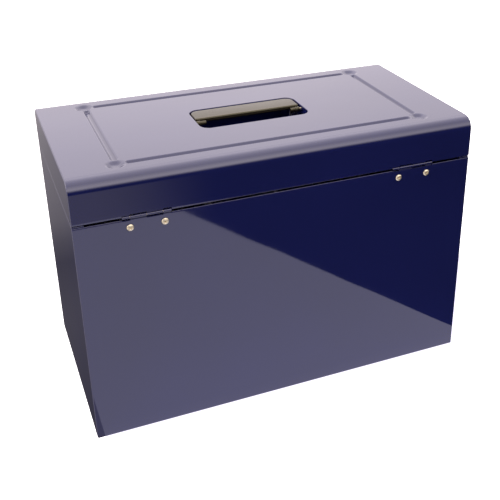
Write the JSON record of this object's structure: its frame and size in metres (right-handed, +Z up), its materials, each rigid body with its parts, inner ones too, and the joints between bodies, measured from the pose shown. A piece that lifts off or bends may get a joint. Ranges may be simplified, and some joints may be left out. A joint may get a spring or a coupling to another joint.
{
  "type": "sewing box with trays",
  "caption": "Sheet-steel carrying box with a hinged rolled-edge lid, a fold-flat handle, a cam lock and sliding sewing trays on rails inside.",
  "frame": {"origin": "middle of the flat base, on the surface the box stands on", "axes": "+X along the box's length, +Y towards the hinge side, +Z up"},
  "size_m": [0.395, 0.208, 0.27],
  "materials": {
    "navy_enamel": "high-gloss navy blue stove enamel on steel sheet",
    "bare_steel": "unpainted steel",
    "lock_chrome": "polished plating",
    "handle_plastic": "glossy black moulded plastic",
    "tray_plastic": "pale grey moulded plastic",
    "divider_plastic": "off-white plastic sheet"
  },
  "bodies": {
    "body": {"body_wrapper": "navy_enamel", "body_end_left": "navy_enamel", "body_end_right": "navy_enamel", "upper_rail_rear": "navy_enamel", "upper_rail_front": "navy_enamel", "lower_rail_rear": "navy_enamel", "lower_rail_front": "navy_enamel", "lock_keeper": "bare_steel", "hinge_body_leaf_left": "navy_enamel", "hinge_body_leaf_right": "navy_enamel", "hinge_pin_left": "bare_steel", "hinge_pin_right": "bare_steel", "rivet_left_a": "bare_steel", "rivet_left_b": "bare_steel", "rivet_right_a": "bare_steel", "rivet_right_b": "bare_steel"},
    "lid": {"lid_wrapper": "navy_enamel", "lid_end_left": "navy_enamel", "lid_end_right": "navy_enamel", "hinge_lid_leaf_left": "navy_enamel", "hinge_lid_leaf_right": "navy_enamel", "handle_cup": "navy_enamel", "handle_pin_left": "bare_steel", "handle_pin_right": "bare_steel", "lock_body": "lock_chrome", "lock_nut": "bare_steel"},
    "handle": {"handle_grip": "handle_plastic"},
    "lock": {"lock_plug": "lock_chrome", "lock_cam": "bare_steel", "lock_screw": "bare_steel"},
    "upper_tray": {"upper_tray": "tray_plastic", "upper_tray_knob": "handle_plastic", "upper_cross_divider_1": "divider_plastic", "upper_cross_divider_2": "divider_plastic", "upper_long_divider": "divider_plastic"},
    "lower_tray": {"lower_tray": "tray_plastic", "lower_tray_knob": "handle_plastic", "lower_cross_divider_1": "divider_plastic", "lower_cross_divider_2": "divider_plastic"}
  },
  "joints": [
    {"name": "lid_hinge", "type": "hinge", "parent": "body", "child": "lid", "pos_m": [0, 0.1013, 0.2295], "axis": [-1, 0, 0], "range_deg": [0, 98]},
    {"name": "handle_swing", "type": "hinge", "parent": "lid", "child": "handle", "pos_m": [0, 0, 0.2657], "axis": [-1, 0, 0], "range_deg": [0, 110]},
    {"name": "lock_turn", "type": "hinge", "parent": "lid", "child": "lock", "pos_m": [0, -0.0945, 0.244], "axis": [0, -1, 0], "range_deg": [0, 90]},
    {"name": "upper_tray_slide", "type": "slide", "parent": "body", "child": "upper_tray", "axis": [-1, 0, 0], "range_m": [0, 0.19]},
    {"name": "lower_tray_slide", "type": "slide", "parent": "body", "child": "lower_tray", "axis": [1, 0, 0], "range_m": [0, 0.19]}
  ]
}
